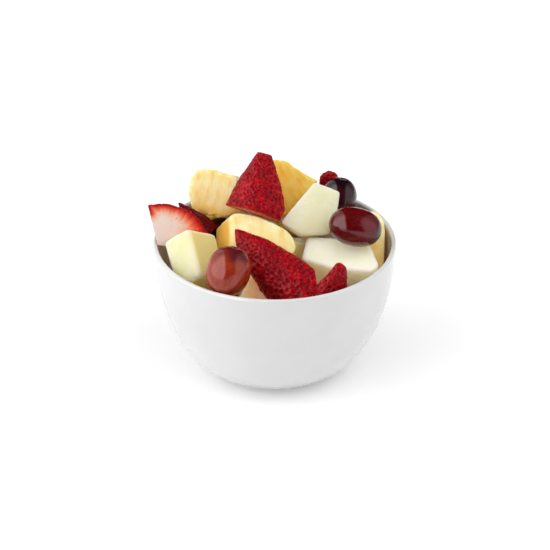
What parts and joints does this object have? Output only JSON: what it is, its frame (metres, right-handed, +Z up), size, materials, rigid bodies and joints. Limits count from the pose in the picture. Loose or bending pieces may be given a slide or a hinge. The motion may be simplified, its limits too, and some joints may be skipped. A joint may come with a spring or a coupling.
{
  "type": "fruit salad in a bowl",
  "caption": "Fruit salad heaped in a round white bowl: cut strawberries, grapes and chunks of pineapple and melon above a deep belly on a low foot ring.",
  "frame": {"origin": "centre of the bowl's foot, on the plane the foot ring rests on", "axes": "+Z up along the bowl's axis; -Y toward the side the fruit is seen from; +X to the right from there"},
  "size_m": [0.1218, 0.12, 0.1045],
  "materials": {
    "porcelain": "gloss",
    "strawberry": "satin",
    "red_grape": "gloss",
    "dark_grape": "gloss",
    "pineapple": "satin",
    "honeydew": "satin",
    "cantaloupe": "satin",
    "mixed_fruit": "satin"
  },
  "bodies": {
    "root": {"bowl": "porcelain", "grape_front": "red_grape", "grape_right": "red_grape", "grape_rear": "red_grape", "grape_back": "dark_grape", "grape_left": "dark_grape", "strawberry_front": "strawberry", "strawberry_small": "strawberry", "strawberry_top": "strawberry", "strawberry_back": "strawberry", "strawberry_left": "strawberry", "strawberry_left_back": "strawberry", "strawberry_rear": "strawberry", "pineapple_centre": "pineapple", "pineapple_left": "pineapple", "pineapple_back": "pineapple", "pineapple_right": "pineapple", "pineapple_rear": "pineapple", "honeydew_left": "honeydew", "honeydew_right": "honeydew", "honeydew_top": "honeydew", "honeydew_under": "honeydew", "honeydew_rear": "honeydew", "cantaloupe_front": "cantaloupe", "cantaloupe_low": "cantaloupe", "cantaloupe_rear": "cantaloupe", "fruit_below": "mixed_fruit"}
  },
  "joints": []
}
